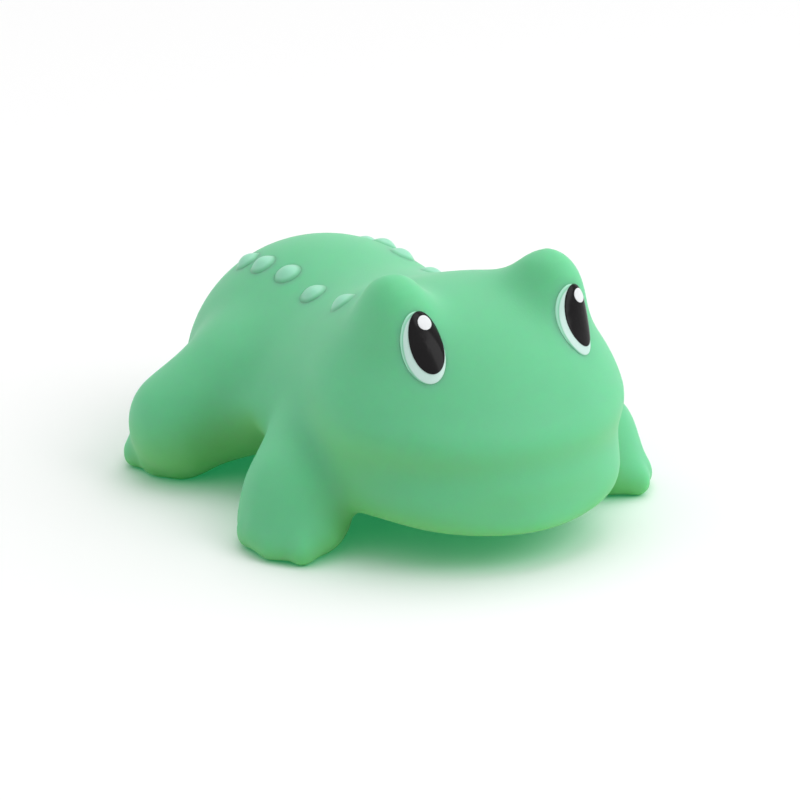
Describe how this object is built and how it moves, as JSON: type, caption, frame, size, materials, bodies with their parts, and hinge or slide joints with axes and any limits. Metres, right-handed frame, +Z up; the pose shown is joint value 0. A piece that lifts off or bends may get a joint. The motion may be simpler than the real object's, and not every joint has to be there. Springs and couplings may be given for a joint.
{
  "type": "frog squirt bath toy",
  "caption": "Hollow soft vinyl frog on four flat feet, with painted eyes, a spotted back and a nozzle plug in its belly that squirts water when the back is pressed.",
  "frame": {"origin": "on the floor under the middle of the toy's box", "axes": "+Z up, the frog looks along -Y, its left side is +X"},
  "size_m": [0.0936, 0.1192, 0.0528],
  "materials": {
    "skin_vinyl": "satin",
    "spot_paint": "satin",
    "eye_white": "satin",
    "eye_black": "gloss",
    "plug_plastic": "matte"
  },
  "bodies": {
    "body": {"body_skin": "skin_vinyl", "squirt_plug": "plug_plastic", "eye_white_left": "eye_white", "eye_white_right": "eye_white", "eye_pupil_left": "eye_black", "eye_pupil_right": "eye_black", "eye_glint_left": "eye_white", "eye_glint_right": "eye_white"},
    "back": {"back_spot_left_1": "spot_paint", "back_spot_left_2": "spot_paint", "back_spot_left_3": "spot_paint", "back_spot_left_4": "spot_paint", "back_spot_left_5": "spot_paint", "back_spot_right_1": "spot_paint", "back_spot_right_2": "spot_paint", "back_spot_right_3": "spot_paint", "back_spot_right_4": "spot_paint", "back_spot_right_5": "spot_paint"}
  },
  "joints": [
    {"name": "back_squeeze", "type": "slide", "parent": "body", "child": "back", "axis": [0, 0, -1], "range_m": [0, 0.008], "stiffness_N_per_m": 300, "deforming": ["body_skin"]}
  ]
}
